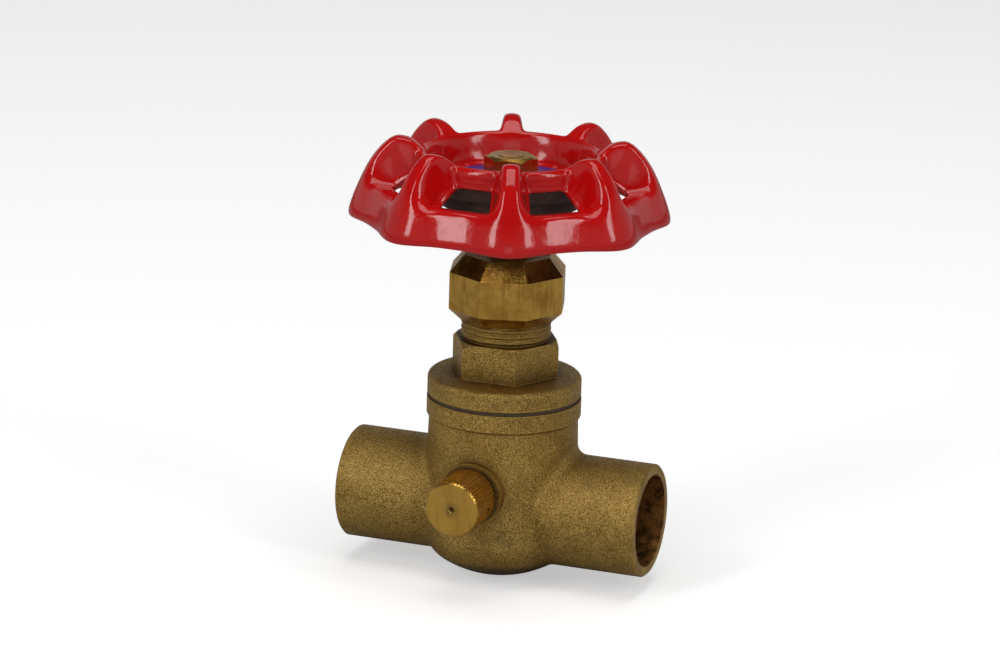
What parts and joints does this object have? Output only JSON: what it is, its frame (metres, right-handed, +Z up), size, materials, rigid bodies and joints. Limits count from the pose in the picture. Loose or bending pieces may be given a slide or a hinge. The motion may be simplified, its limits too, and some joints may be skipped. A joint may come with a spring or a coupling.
{
  "type": "stop and waste valve",
  "caption": "Solder-end stop valve with a lobed handwheel, rising stem, screwed bonnet, packed gland and a knurled side drain cap for emptying the line.",
  "frame": {"origin": "on the stem axis, level with the lowest point of the belly; the pipe axis passes 12.7 mm above it", "axes": "+X leaves the outlet cup along the pipe, +Z runs up the stem to the handwheel, and the drain cap faces -Y"},
  "size_m": [0.0544, 0.0528, 0.0767],
  "materials": {
    "cast_bronze": "sand-cast, darkened",
    "machined_brass": "turned, lightly tarnished",
    "stem_brass": "turned",
    "red_enamel": "gloss enamel on cast iron",
    "plate_enamel": "satin enamel",
    "black_rubber": "moulded",
    "packing_yarn": "graphited yarn",
    "gasket_fibre": "compressed fibre"
  },
  "bodies": {
    "valve_root": {"valve_body": "cast_bronze", "bonnet": "cast_bronze", "bonnet_gasket": "gasket_fibre", "packing_washer": "machined_brass", "packing_ring_1": "packing_yarn", "packing_ring_2": "packing_yarn", "packing_ring_3": "packing_yarn", "packing_gland": "machined_brass", "packing_nut": "machined_brass"},
    "disc_carrier": {"disc_holder": "stem_brass", "disc_holder_nut": "stem_brass", "seat_disc": "black_rubber", "disc_washer": "stem_brass", "disc_screw": "stem_brass"},
    "stem_and_wheel": {"stem": "stem_brass", "handwheel": "red_enamel", "identification_plate": "plate_enamel", "handwheel_nut": "machined_brass"},
    "drain_seal": {"drain_washer": "black_rubber"},
    "drain_cap_body": {"drain_cap": "machined_brass"}
  },
  "joints": [
    {"name": "disc_lift", "type": "slide", "parent": "valve_root", "child": "disc_carrier", "axis": [0, 0, 1], "range_m": [0, 0.0045]},
    {"name": "handwheel_turn", "type": "hinge", "parent": "disc_carrier", "child": "stem_and_wheel", "pos_m": [0, 0, 0.0627], "axis": [0, 0, 1], "range_deg": [0, 1080]},
    {"name": "drain_cap_travel", "type": "slide", "parent": "valve_root", "child": "drain_seal", "axis": [0, -1, 0], "range_m": [0, 0.0024]},
    {"name": "drain_cap_turn", "type": "hinge", "parent": "drain_seal", "child": "drain_cap_body", "pos_m": [-0.0005, -0.019, 0.0177], "axis": [0, -1, 0], "range_deg": [0, 1080]}
  ],
  "couplings": [
    {"joint": "handwheel_turn", "follows": "disc_lift", "rad_per_m": 4188.8},
    {"joint": "drain_cap_turn", "follows": "drain_cap_travel", "rad_per_m": 7854}
  ]
}
